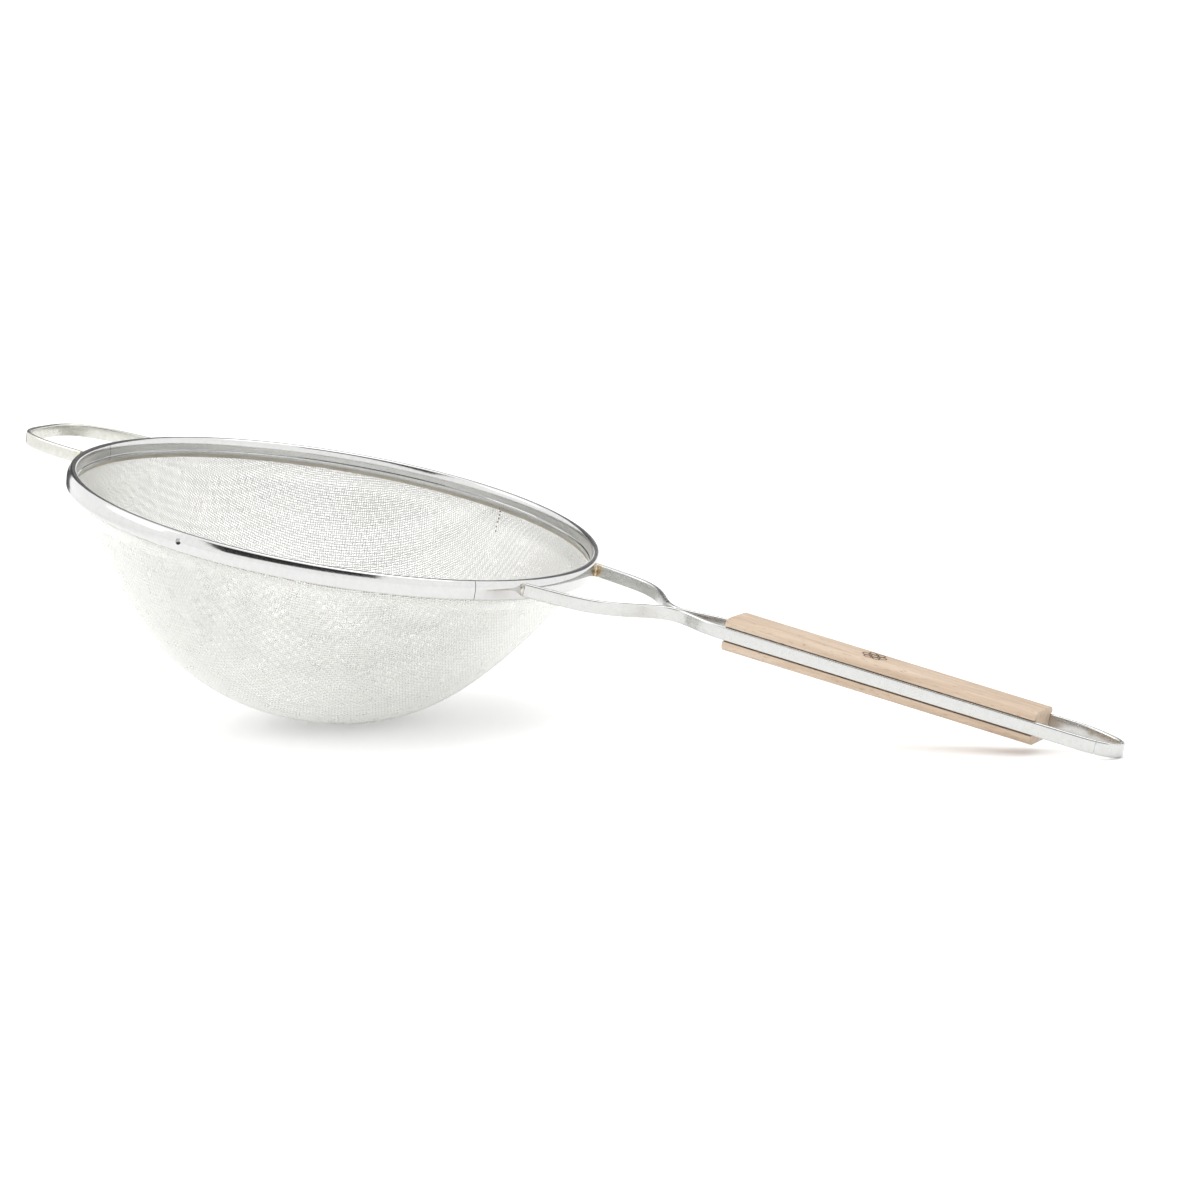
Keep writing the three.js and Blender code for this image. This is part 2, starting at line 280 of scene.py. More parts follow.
# %% Hem band
nobody()
bpy.ops.mesh.primitive_cylinder_add(vertices=180, radius=127.6 * MM, depth=3.6 * MM, end_fill_type="NOTHING",
                                    location=(0, 0, -8.3 * MM))
hem = bpy.context.object
wall = hem.modifiers.new("wall", "SOLIDIFY")
wall.thickness = 0.5 * MM
wall.offset = -1
edges = hem.modifiers.new("edges", "BEVEL")
edges.width = 0.15 * MM
edges.segments = 2
apply_all(hem)
finished(hem, "cloth_hem", LAID)

# %% [markdown]
# ## The straps
# Every strap is the same flat bar standing on edge, bent to a line. A curve does exactly that:
# the line carries the bends, and a second curve, the bar's section, is swept along it. The
# section starts as a plane whose corners are rounded, and is turned from mesh into curve. A bar
# that would reach below the table, as the tip of the hanging loop does, is filed flat to it.

# %% The bar's section
STRAP_HEIGHT = 6.5 * MM
STRAP_THICK = 2.4 * MM


def bar_section():
    """A rounded rectangle as a closed curve: thickness along X, height along Y."""
    nobody()
    bpy.ops.mesh.primitive_plane_add(size=1)
    section = bpy.context.object
    section.scale = (STRAP_THICK, STRAP_HEIGHT, 1)
    bpy.ops.object.transform_apply(location=True, rotation=True, scale=True)
    bpy.ops.object.mode_set(mode="EDIT")
    bpy.ops.mesh.select_all(action="SELECT")
    bpy.ops.mesh.bevel(offset=0.85 * MM, segments=5, affect="VERTICES")
    bpy.ops.mesh.select_all(action="SELECT")
    bpy.ops.mesh.delete(type="ONLY_FACE")
    bpy.ops.object.mode_set(mode="OBJECT")
    bpy.ops.object.convert(target="CURVE")
    return bpy.context.object


def bent_bar(name, line, place, resolution=10):
    """The bar swept along a level line of [x, y] points in millimetres."""
    section = bar_section()
    nobody()
    bpy.ops.curve.primitive_bezier_curve_add()
    bar = bpy.context.object
    bar.data.dimensions = "2D"
    bar.data.resolution_u = resolution
    bar.data.fill_mode = "NONE"
    spline = bar.data.splines[0]
    spline.bezier_points.add(len(line) - len(spline.bezier_points))
    for point, (x, y) in zip(spline.bezier_points, line):
        point.co = (x * MM, y * MM, 0)
        point.handle_left_type = "AUTO"
        point.handle_right_type = "AUTO"
    bar.data.bevel_mode = "OBJECT"
    bar.data.bevel_object = section
    bar.data.use_fill_caps = True
    only(bar)
    bpy.ops.object.convert(target="MESH")
    bar = bpy.context.object
    bpy.data.objects.remove(section)
    bpy.ops.object.mode_set(mode="EDIT")
    bpy.ops.mesh.select_all(action="SELECT")
    bpy.ops.mesh.remove_doubles(threshold=0.004 * MM)
    bpy.ops.mesh.normals_make_consistent(inside=False)
    bpy.ops.object.mode_set(mode="OBJECT")
    finished(bar, name, place, angle=50)
    for vertex in bar.data.vertices:
        vertex.co.z = max(vertex.co.z, 0.0)
    print("open edges", open_edges(bar))
    return bar


# %% [markdown]
# ## The handle's line
# The strap leaves the rim as a fork, runs in to a neck where its two halves touch, spreads to
# the width of the grip, and ends in a round loop. The far half carries the whole loop, and the
# near half meets it at a butt seam. Both lines are the same list of points, one mirrored.

# %% Fork, neck, sides and loop
FORK_X = 130.0
FORK = [(126.6, 37.6), (138, 36.0), (150, 33.8), (158, 30.8), (165.5, 25.2), (172.5, 16.8),
        (178.5, 8.6), (183.5, 3.6), (188, 1.6), (193, 1.9), (199, 3.9), (205, 6.0), (210.5, 7.3),
        (216.5, 7.8), (222, 7.95)]
LOOP = [(384, 11.1), (390, 10.6), (395, 9.3), (400, 7.5), (404.5, 5.3), (408.4, 2.8), (410.9, -0.4),
        (411.0, -4.2), (408.6, -7.6), (404, -10.0), (398, -11.0), (391, -11.2), (384, -11.1)]
SEAM_X = 402.0
NECK_X, NECK_Y = FORK[-1]


def side_width(x):
    """How far a strap's centre line is from the middle, beside the grip."""
    return NECK_Y + (LOOP[0][1] - NECK_Y) * (x - NECK_X) / (LOOP[0][0] - NECK_X)


side = FORK + [(x, side_width(x)) for x in (250, 300, 350)]
far_line = side + LOOP[:9] + [(404, -10.0), (SEAM_X + 0.15, -10.42)]
near_line = [(SEAM_X - 0.15, -10.47), (398, -11.0)] + LOOP[11:] + [(x, -y) for x, y in reversed(side)]
far_strap = bent_bar("far_strap", [(x - FORK_X, y) for x, y in far_line], HANDLE)
near_strap = bent_bar("near_strap", [(x - FORK_X, y) for x, y in near_line], HANDLE)

# %% [markdown]
# ## The rest loop
# The front loop is the same bar bent to a wide U with square shoulders, which is what a
# superellipse draws.

# %% Front rest loop
FRONT_X = -130.0
REST = {"half": 33.2, "length": 75.0, "start": 99.3, "squareness": 3.4}


def shoulder(turn):
    """A point of the U: 0 at the middle of its front, a quarter turn at the rim."""
    power = 2 / REST["squareness"]
    x = -REST["start"] - REST["length"] * max(0.0, math.cos(turn)) ** power
    return x, REST["half"] * math.sin(turn) ** power


quarter = [shoulder(math.pi / 2 * i / 30) for i in range(31)]
quarter = [(x - FRONT_X, y) for x, y in quarter if math.hypot(x, y) > 132.3]
u_line = list(reversed(quarter)) + [(x, -y) for x, y in quarter[1:]]
rest_loop = bent_bar("rest_loop", u_line, FRONT, resolution=4)

# %% [markdown]
# ## The wooden grip
# A joiner planes a bar, rounds its long edges and its nose, and cuts a groove down each side for
# the straps. The same steps work here: a cube becomes the bar, bevels round it, one end is
# widened, the other is raised, and two long blocks are taken away for the grooves. The cuts leave
# slivers, which are merged and dissolved. A last small bevel breaks the sharp edges that a groove
# leaves, because worn wood has none.

# %% Plane the bar
GRIP_TOP = 7.15 * MM
GRIP_BOTTOM = -8.25 * MM
GRIP_LENGTH = (GRIP_END - GRIP_START) * MM
GRIP_PLACE = HANDLE @ Matrix.Translation(Vector((GRIP_START - FORK_X, 0, 0)) * MM)
half_nose = side_width(GRIP_START) * MM + STRAP_THICK / 2
half_end = side_width(GRIP_END) * MM + STRAP_THICK / 2

nobody()
bpy.ops.mesh.primitive_cube_add(size=1, location=(GRIP_LENGTH / 2, 0, (GRIP_TOP + GRIP_BOTTOM) / 2))
grip = bpy.context.object
grip.scale = (GRIP_LENGTH, 2 * half_nose, GRIP_TOP - GRIP_BOTTOM)
bpy.ops.object.transform_apply(location=True, rotation=True, scale=True)
bpy.ops.object.mode_set(mode="EDIT")
bpy.ops.mesh.select_mode(type="EDGE")
bpy.ops.mesh.select_all(action="DESELECT")
bpy.ops.object.mode_set(mode="OBJECT")
for edge in grip.data.edges:
    a, b = [grip.data.vertices[i].co for i in edge.vertices]
    edge.select = abs(a.x - b.x) > GRIP_LENGTH / 2
bpy.ops.object.mode_set(mode="EDIT")
bpy.ops.mesh.bevel(offset=3.4 * MM, segments=8, affect="EDGES")
bpy.ops.mesh.select_all(action="SELECT")
bpy.ops.mesh.bisect(plane_co=(GRIP_LENGTH * 0.5, 0, 0), plane_no=(1, 0, 0))
pick(grip, lambda co: co.x > GRIP_LENGTH * 0.99)
bpy.ops.transform.resize(value=(1, half_end / half_nose, 1), center_override=(GRIP_LENGTH, 0, 0))
pick(grip, lambda co: abs(co.x - GRIP_LENGTH * 0.5) < 0.1 * MM)
bpy.ops.transform.resize(value=(1, (half_end / half_nose + 1) / 2, 1),
                         center_override=(GRIP_LENGTH / 2, 0, 0))
for x, share in ((0, 1), (GRIP_LENGTH / 2, 0.5)):
    pick(grip, lambda co: abs(co.x - x) < 0.1 * MM and co.z > 0)
    bpy.ops.transform.translate(value=(0, 0, share * GRIP_RISE * MM))
bpy.ops.mesh.select_all(action="SELECT")
bpy.ops.mesh.quads_convert_to_tris()
bpy.ops.object.mode_set(mode="OBJECT")


# %% Cut the nose and the grooves
def take_away(piece, block):
    """Cuts a block out of a piece and throws the block away."""
    cut = piece.modifiers.new("cut", "BOOLEAN")
    cut.object = block
    cut.solver = "EXACT"
    apply_all(piece)
    bpy.data.objects.remove(block)


NOSE = 3.5 * MM
NOSE_TOP = GRIP_TOP + GRIP_RISE * MM
nobody()
bpy.ops.mesh.primitive_cube_add(size=1, location=(0, 0, NOSE_TOP))
nose_block = bpy.context.object
nose_block.scale = (2 * NOSE, 60 * MM, 2 * NOSE)
bpy.ops.object.transform_apply(location=True, rotation=True, scale=True)
nobody()
bpy.ops.mesh.primitive_cylinder_add(vertices=64, radius=NOSE, depth=80 * MM, rotation=(math.pi / 2, 0, 0),
                                    location=(NOSE, 0, NOSE_TOP - NOSE - 0.05 * MM))
nose_round = bpy.context.object
bpy.ops.object.transform_apply(location=True, rotation=True, scale=True)
take_away(nose_block, nose_round)
take_away(grip, nose_block)

GROOVE = STRAP_HEIGHT + 0.9 * MM
for hand in (1, -1):
    floor_start = hand * (half_nose - STRAP_THICK - 0.1 * MM)
    floor_end = hand * (half_end - STRAP_THICK - 0.1 * MM)
    slope = math.atan2(floor_end - floor_start, GRIP_LENGTH)
    nobody()
    bpy.ops.mesh.primitive_cube_add(size=1, location=(GRIP_LENGTH / 2, hand * 10 * MM, 0))
    groove = bpy.context.object
    groove.scale = (GRIP_LENGTH + 20 * MM, 20 * MM, GROOVE)
    bpy.ops.object.transform_apply(location=True, rotation=True, scale=True)
    groove.data.transform(Matrix.Translation((0, floor_start, 0)) @ Matrix.Rotation(slope, 4, "Z"))
    take_away(grip, groove)
only(grip)
bpy.ops.object.mode_set(mode="EDIT")
bpy.ops.mesh.select_all(action="SELECT")
bpy.ops.mesh.remove_doubles(threshold=0.02 * MM)
bpy.ops.mesh.select_all(action="SELECT")
bpy.ops.mesh.dissolve_limited(angle_limit=math.radians(0.6))
bpy.ops.object.mode_set(mode="OBJECT")
print("open edges before the edges are broken", open_edges(grip))
broken = grip.modifiers.new("broken edges", "BEVEL")
broken.width = 0.35 * MM
broken.segments = 3
broken.limit_method = "ANGLE"
broken.angle_limit = math.radians(50)
apply_all(grip)
finished(grip, "beech_grip", GRIP_PLACE, angle=35)
print("open edges", open_edges(grip))

# %% [markdown]
# ## The burned cells
# A hot iron leaves a pattern in the top of the grip. Here it is a small piece of honeycomb, one
# cell with six round it, which suits the tool. Each cell is a flat six-sided ring: a circle of
# six corners is inset, and the ring that is left gets a hair's thickness. The iron's strokes are
# dark all through, so they are made as pieces and not painted.

# %% Honeycomb cells
MARK_X = 71.5 * MM
GRIP_FACE = Matrix.Translation((0, 0, NOSE_TOP)) @ Matrix.Rotation(GRIP_FALL, 4, "Y")
MARK = GRIP_FACE @ Matrix.Translation((MARK_X, 0, 0))
CELL = 2.2 * MM
CELL_STEP = CELL * math.sqrt(3) * 1.08
STROKE = 0.55 * MM


def burned_ring(x, y):
    """A flat six-sided ring on the grip's top."""
    nobody()
    bpy.ops.mesh.primitive_circle_add(vertices=6, radius=CELL, fill_type="NGON")
    ring = bpy.context.object
    bpy.ops.object.mode_set(mode="EDIT")
    bpy.ops.mesh.select_all(action="SELECT")
    bpy.ops.mesh.inset(thickness=STROKE)
    bpy.ops.mesh.delete(type="FACE")
    bpy.ops.mesh.select_all(action="SELECT")
    bpy.ops.mesh.extrude_region_move(TRANSFORM_OT_translate={"value": (0, 0, 0.12 * MM)})
    bpy.ops.mesh.select_all(action="SELECT")
    bpy.ops.mesh.normals_make_consistent(inside=False)
    bpy.ops.object.mode_set(mode="OBJECT")
    ring.data.transform(MARK @ Matrix.Translation((x, y, -0.09 * MM)))
    return ring


rings = [burned_ring(0, 0)]
for sixth in range(6):
    turn = math.radians(60 * sixth)
    rings.append(burned_ring(CELL_STEP * math.cos(turn), CELL_STEP * math.sin(turn)))
only(rings[0])
for ring in rings[1:]:
    ring.select_set(True)
bpy.ops.object.join()
burned_cells = finished(rings[0], "burned_cells", GRIP_PLACE)
print("open edges", open_edges(burned_cells))

# %% [markdown]
# ## Welds
# Where a strap meets the rim, a lumpy bead of weld holds it. A ball is pressed to an oval and
# roughened by a Displace modifier with a cloud texture. One function makes all beads, each with
# its own place in the same clouds, so no two are alike.

# %% Weld beads
clouds = bpy.data.textures.new("weld clouds", "CLOUDS")
clouds.noise_scale = 1.6 * MM


def weld(name, place, turn, size):
    """A weld bead at a place in the level frame; turn is degrees round the bowl's axis."""
    nobody()
    bpy.ops.mesh.primitive_ico_sphere_add(subdivisions=4, radius=1)
    bead = bpy.context.object
    bead.scale = [s * MM for s in size]
    bpy.ops.object.transform_apply(location=True, rotation=True, scale=True)
    lay = Matrix.Translation(Vector(place) * MM) @ Matrix.Rotation(math.radians(turn), 4, "Z")
    bead.data.transform(lay)
    lumps = bead.modifiers.new("lumps", "DISPLACE")
    lumps.texture = clouds
    lumps.texture_coords = "LOCAL"
    lumps.strength = 0.7 * MM
    lumps.mid_level = 0.5
    apply_all(bead)
    return finished(bead, name, LAID, angle=80)


def on_rim(turn, height):
    """A place on the rim's outer face, and the turn itself."""
    angle = math.radians(turn)
    return (131.4 * math.cos(angle), 131.4 * math.sin(angle), height)


fork_turn = math.degrees(math.atan2(37.6, 126.6))
loop_turn = math.degrees(math.atan2(33.2, -127.9))
welds = [
    weld("weld_fork_far", on_rim(fork_turn, -4.2), fork_turn, (1.3, 2.2, 3.4)),
    weld("weld_fork_near", on_rim(-fork_turn, -4.2), -fork_turn, (1.3, 2.4, 3.2)),
    weld("weld_loop_far", on_rim(loop_turn, -5.0), loop_turn, (1.2, 2.0, 3.0)),
    weld("weld_loop_near", on_rim(-loop_turn, -5.0), -loop_turn, (1.2, 2.0, 3.0)),
    weld("weld_neck", (188.3, 0, -4.9), 0, (4.2, 0.7, 2.6)),
]

# %% [markdown]
# ## The wire cloth
# The bowl is pressed from a flat round of plain-woven cloth: every wire passes over one crossing
# and under the next. It could be drawn as a textured sheet, but then the light would not come
# through its pores, so real wires are woven. Each wire is one thread of a curve, and the curve's
# round bevel gives it thickness. The cloth is worked out flat and then laid on the bowl: a
# point's distance from the cloth's middle becomes the distance along the bowl's wall. This is
# arithmetic for some 100,000 crossings, so numpy does it and the curve only receives the points.

# %% The bowl's wall, from the middle of its bottom to the hem
BOWL_RADIUS, BOWL_TOP, BOWL_DEPTH = 125.0, 10.8, 104.8
BOWL_ROUNDNESS, BOWL_FULLNESS, BOWL_LEAN, HEM_BEND = 2.49, 1.08, 2.05, 10.4
HEM = [(126.2, -13.6), (129.1, -10.4), (129.45, -8.6), (129.5, -5.4)]


def wall_line():
    """Points of the coarse cloth's outer face, even steps apart, in millimetres."""
    fall = np.sin(np.linspace(0, 1, 500) * math.pi / 2) ** 1.5
    fall = 1 - fall * (1 - (17.0 - BOWL_TOP) / (BOWL_DEPTH - BOWL_TOP))
    radius = BOWL_RADIUS * (1 - np.minimum(fall, 1) ** BOWL_FULLNESS) ** (1 / BOWL_ROUNDNESS)
    height = -(BOWL_TOP + fall * (BOWL_DEPTH - BOWL_TOP))
    line = np.vstack([np.column_stack([radius, height]), HEM])
    along = np.concatenate([[0], np.cumsum(np.hypot(*np.diff(line, axis=0).T))])
    even = np.arange(0, along[-1], 0.25)
    line = np.column_stack([np.interp(even, along, line[:, 0]), np.interp(even, along, line[:, 1])])
    window = np.hanning(23) / np.hanning(23).sum()
    mirrored = line[11:0:-1] * (-1, 1)
    padded = np.vstack([mirrored, line, np.repeat(line[-1:], 11, axis=0)])
    smooth = np.column_stack([np.convolve(padded[:, i], window, "valid") for i in (0, 1)])
    smooth[-8:] = line[-8:]
    return smooth


wall = wall_line()
wall_length = 0.25 * (len(wall) - 1)
slope = np.gradient(wall, axis=0)
slope /= np.hypot(slope[:, 0], slope[:, 1])[:, None]
outward = np.column_stack([slope[:, 1], -slope[:, 0]])
print("the cloth is", round(2 * wall_length), "mm across before it is pressed")


def press(u, v, inset):
    """Lays flat-cloth points on the bowl, inset millimetres inside its outer face."""
    distance = np.hypot(u, v)
    turn = np.arctan2(v, u)
    at = distance / 0.25
    steps = np.arange(len(wall))
    radius = np.interp(at, steps, wall[:, 0]) - inset * np.interp(at, steps, outward[:, 0])
    height = np.interp(at, steps, wall[:, 1]) - inset * np.interp(at, steps, outward[:, 1])
    fall = np.clip((-height - HEM_BEND) / (BOWL_DEPTH - HEM_BEND), 0, 1)
    x = radius * np.cos(turn) - BOWL_LEAN * np.sin(math.pi * fall)
    return np.column_stack([x, radius * np.sin(turn), height])


# %% Weave one set of parallel wires
def wires(name, pitch, thick, inset, heading, share, shares):
    """A share of the wires that run one way; heading is degrees from the handle's line."""
    nobody()
    curve = bpy.data.curves.new(name, "CURVE")
    curve.dimensions = "3D"
    curve.bevel_depth = thick / 2 * MM
    curve.bevel_resolution = 0
    curve.use_fill_caps = True
    rows = int(wall_length / pitch)
    first = -rows + (2 * rows + 1) * share // shares
    last = -rows + (2 * rows + 1) * (share + 1) // shares
    turn = math.radians(heading)
    across = heading == COARSE_HEADINGS[1] or heading == FINE_HEADINGS[1]
    laid = np.array(LAID)
    for row in range(first, last):
        reach = math.sqrt(max(0.0, wall_length ** 2 - (row * pitch) ** 2))
        half = int(reach / pitch)
        if half < 3:
            continue
        count = np.arange(-half, half + 1)
        over = np.where((count + row) % 2 == 0, 1, -1) * (-1 if across else 1)
        straight, sideways = count * pitch, row * pitch
        u = straight * math.cos(turn) - sideways * math.sin(turn)
        v = straight * math.sin(turn) + sideways * math.cos(turn)
        points = press(u, v, inset + over * thick * 0.46) * MM
        points = points @ laid[:3, :3].T + laid[:3, 3]
        points[:, 2] = np.maximum(points[:, 2], thick * 0.5 * MM)
        spline = curve.splines.new("POLY")
        spline.points.add(len(points) - 1)
        spline.points.foreach_set("co", np.column_stack([points, np.ones(len(points))]).ravel())
    cloth = bpy.data.objects.new(name, curve)
    bpy.context.scene.collection.objects.link(cloth)
    only(cloth)
    bpy.ops.object.convert(target="MESH")
    cloth = bpy.context.object
    bpy.ops.object.mode_set(mode="EDIT")
    bpy.ops.mesh.select_all(action="SELECT")
    bpy.ops.mesh.remove_doubles(threshold=0.002 * MM)
    bpy.ops.object.mode_set(mode="OBJECT")
    bpy.ops.object.shade_smooth()
    report(cloth)
    return cloth


# %% Two layers of cloth
COARSE_HEADINGS = (-60.0, 30.0)
FINE_HEADINGS = (-52.0, 38.0)
coarse = []
fine = []
for heading, way in zip(COARSE_HEADINGS, ("warp", "weft")):
    for share in (0, 1):
        coarse.append(wires(f"coarse_{way}_{share + 1}", 1.6, 0.46, 0.5, heading, share, 2))
for heading, way in zip(FINE_HEADINGS, ("warp", "weft")):
    for share in (0, 1, 2, 3):
        fine.append(wires(f"fine_{way}_{share + 1}", 1.25, 0.27, 1.65, heading, share, 4))
print("open edges in the first set of wires", open_edges(coarse[0]))

# %% [markdown]
# ## The cloth's seam
# The fine cloth is closed by a short row of weld dots, which shows inside the far wall. The dots
# are small balls on the inner face, one below the other.

# %% Weld dots in the far wall
dots = []
for step_down in range(8):
    out = 172.5 - 2.2 * step_down
    turn = math.radians(79.0 - 0.57 * step_down)
    place = press(np.array([out * math.cos(turn)]), np.array([out * math.sin(turn)]), 1.95)[0] * MM
    nobody()
    bpy.ops.mesh.primitive_uv_sphere_add(segments=12, ring_count=8, radius=0.42 * MM, location=tuple(place))
    dots.append(bpy.context.object)
    bpy.ops.object.transform_apply(location=True)
only(dots[0])
for dot in dots[1:]:
    dot.select_set(True)
bpy.ops.object.join()
seam_dots = finished(dots[0], "seam_dots", LAID)

# %% [markdown]
# ## Finishes
# Every finish is a small net of nodes on the Principled shader. The patterns read Object
# coordinates, turned so that they follow the piece: round the rim, along the straps, along the
# grain. Values that are the same all over a piece are set on the shader itself.

# %% Node helpers
def finish(name, color, metallic, roughness):
    """A new material, its node tree and its Principled shader."""
    material = bpy.data.materials.new(name)
    material.use_nodes = True
    shader = material.node_tree.nodes["Principled BSDF"]
    shader.inputs["Base Color"].default_value = (*color, 1)
    shader.inputs["Metallic"].default_value = metallic
    shader.inputs["Roughness"].default_value = roughness
    return material, material.node_tree, shader


def node(tree, kind, links=(), **values):
    """A node with its settings; links are pairs of an input's name and what feeds it."""
    made = tree.nodes.new(kind)
    for key, value in values.items():
        if hasattr(made, key):
            setattr(made, key, value)
        else:
            made.inputs[key.replace("_", " ")].default_value = value
    for key, source in links:
        tree.links.new(source, made.inputs[key])
    return made


def place_of(tree, frame_matrix, stretch=(1, 1, 1)):
    """Coordinates in a piece's own drawing frame, stretched along its axes."""
    where = node(tree, "ShaderNodeTexCoord")
    own = node(tree, "ShaderNodeMapping", [("Vector", where.outputs["Object"])], vector_type="TEXTURE")
    own.inputs["Location"].default_value = frame_matrix.translation
    own.inputs["Rotation"].default_value = frame_matrix.to_euler()
    return node(tree, "ShaderNodeMapping", [("Vector", own.outputs[0])], Scale=stretch).outputs[0]


def noise(tree, coordinates, scale, detail=3.0, roughness=0.5):
    """A cloud pattern; scale is in repeats per metre."""
    clouds_node = node(tree, "ShaderNodeTexNoise", [("Vector", coordinates)], Scale=scale, Detail=detail)
    clouds_node.inputs["Roughness"].default_value = roughness
    return clouds_node.outputs["Fac"]


def between(tree, value, low, high, out_low, out_high):
    """Stretches a value from one range to another."""
    ranged = node(tree, "ShaderNodeMapRange", [("Value", value)])
    for key, number in zip(("From Min", "From Max", "To Min", "To Max"), (low, high, out_low, out_high)):
        ranged.inputs[key].default_value = number
    return ranged.outputs[0]


def ramp(tree, value, stops):
    """Colours along a value; stops are (position, colour)."""
    made = node(tree, "ShaderNodeValToRGB", [("Fac", value)])
    elements = made.color_ramp.elements
    while len(elements) < len(stops):
        elements.new(0.5)
    for element, (position, color) in zip(elements, stops):
        element.position = position
        element.color = (*color, 1)
    return made.outputs["Color"]


def mix(tree, share, first, second):
    """Mixes two colours by a share; each may be a colour or a socket."""
    made = node(tree, "ShaderNodeMix", data_type="RGBA", blend_type="MIX")
    for index, source in ((0, share), (6, first), (7, second)):
        if isinstance(source, bpy.types.NodeSocket):
            tree.links.new(source, made.inputs[index])
        else:
            made.inputs[index].default_value = source if index == 0 else (*source, 1)
    return made.outputs[2]


def math_node(tree, operation, first, second=0.0):
    """One sum on two values."""
    made = node(tree, "ShaderNodeMath", operation=operation)
    for index, source in ((0, first), (1, second)):
        if isinstance(source, bpy.types.NodeSocket):
            tree.links.new(source, made.inputs[index])
        else:
            made.inputs[index].default_value = source
    return made.outputs[0]


def bump(tree, shader, height, distance, strength=1.0):
    """Feeds a height into the shader's normal."""
    made = node(tree, "ShaderNodeBump", [("Height", height)], Distance=distance, Strength=strength)
    tree.links.new(made.outputs[0], shader.inputs["Normal"])


# %% [markdown]
# ## Polished and drawn steel
# The rim is rolled and polished: nearly a mirror, with faint cloudy patches and hair-fine
# scratches. The straps are drawn bar, a little duller and greener, with long lines. Near the
# welds the heat has left a straw and brown tint.

# %% Steel
def heat_tint(tree, color, spots, reach):
    """Mixes straw and brown round a few places in the laid frame."""
    where = node(tree, "ShaderNodeTexCoord").outputs["Object"]
    nearest = None
    for spot in spots:
        away = node(tree, "ShaderNodeVectorMath", [(0, where)], operation="DISTANCE")
        away.inputs[1].default_value = spot
        distance = away.outputs["Value"]
        nearest = distance if nearest is None else math_node(tree, "MINIMUM", nearest, distance)
    patchy = noise(tree, where, 500.0)
    nearest = math_node(tree, "ADD", nearest, between(tree, patchy, 0.3, 0.7, -0.3 * reach, 0.3 * reach))
    share = between(tree, nearest, 0.35 * reach, reach, 0.85, 0.0)
    tint = ramp(tree, between(tree, nearest, 0, reach, 0, 1), [
        (0.0, (0.20, 0.13, 0.06)), (0.35, (0.42, 0.27, 0.10)), (0.7, (0.72, 0.60, 0.36))])
    return mix(tree, share, color, tint)


def steel(name, color, shade, place, stretch, rough, scratch, spots=(), reach=0.004):
    """Polished steel; shade is the colour of its duller patches."""
    material, tree, shader = finish(name, color, 1.0, rough[0])
    lines = noise(tree, place_of(tree, place, stretch), 900.0, 4.0, 0.6)
    patches = noise(tree, place_of(tree, place), 420.0, 5.0, 0.65)
    tone = mix(tree, between(tree, patches, 0.35, 0.7, 0.0, 1.0), color, shade)
    if spots:
        tone = heat_tint(tree, tone, spots, reach)
    tree.links.new(tone, shader.inputs["Base Color"])
    worn = between(tree, patches, 0.3, 0.7, *rough)
    drawn = between(tree, lines, 0.3, 0.7, 0.0, 0.06)
    wear = math_node(tree, "ADD", worn, drawn)
    tree.links.new(wear, shader.inputs["Roughness"])
    bump(tree, shader, lines, scratch)
    return material


laid_spots = [LAID @ (Vector(on_rim(turn, -4.2)) * MM) for turn in (fork_turn, -fork_turn)]
loop_spots = [LAID @ (Vector(on_rim(turn, -5.0)) * MM) for turn in (loop_turn, -loop_turn)]
rim_steel = steel("polished rim steel", (0.61, 0.61, 0.605), (0.57, 0.57, 0.565), LAID, (1, 1, 6),
                  (0.07, 0.13), 0.000004, laid_spots[:1], 0.0035)
strap_steel = steel("drawn strap steel", (0.585, 0.59, 0.575), (0.56, 0.56, 0.545), HANDLE, (0.05, 1, 1),
                    (0.16, 0.27), 0.00001, laid_spots[:1], 0.006)
loop_steel = steel("drawn loop steel", (0.62, 0.62, 0.58), (0.54, 0.54, 0.49), FRONT, (0.2, 0.2, 1),
                   (0.16, 0.27), 0.00001, loop_spots, 0.005)
weld_steel = steel("weld steel", (0.70, 0.68, 0.62), (0.42, 0.38, 0.32), LAID, (1, 1, 1),
                   (0.22, 0.42), 0.00006, laid_spots[:1], 0.004)


# %% [markdown]
# ## Drawn wire and the pressed hem
# The wires are finer than any pattern drawn on them, so their colour and gloss are single values
# and only the roughness and a faint bump vary, from wire to wire and along each one.

# %% Wire
def wire_finish(name, color, rough):
    """Bright drawn wire."""
    material, tree, shader = finish(name, color, 1.0, rough)
    where = node(tree, "ShaderNodeTexCoord").outputs["Object"]
    cloudy = noise(tree, where, 120.0, 4.0)
    tree.links.new(between(tree, cloudy, 0.3, 0.7, rough - 0.06, rough + 0.1), shader.inputs["Roughness"])
    bump(tree, shader, noise(tree, where, 4000.0), 0.00001)
    return material


coarse_wire = wire_finish("coarse drawn wire", (0.96, 0.96, 0.935), 0.28)
fine_wire = wire_finish("fine drawn wire", (0.72, 0.715, 0.685), 0.38)

hem_metal, tree, shader = finish("pressed hem", (0.62, 0.55, 0.42), 0.85, 0.38)
where = place_of(tree, LAID)
weave = noise(tree, place_of(tree, LAID, (1, 1, 0.35)), 900.0, 2.0)
blotch = noise(tree, where, 60.0, 4.0)
tone = mix(tree, between(tree, blotch, 0.35, 0.65, 0, 1), (0.56, 0.52, 0.44), (0.45, 0.415, 0.34))
tree.links.new(tone, shader.inputs["Base Color"])
tree.links.new(between(tree, weave, 0.3, 0.7, 0.3, 0.5), shader.inputs["Roughness"])
bump(tree, shader, weave, 0.0001)

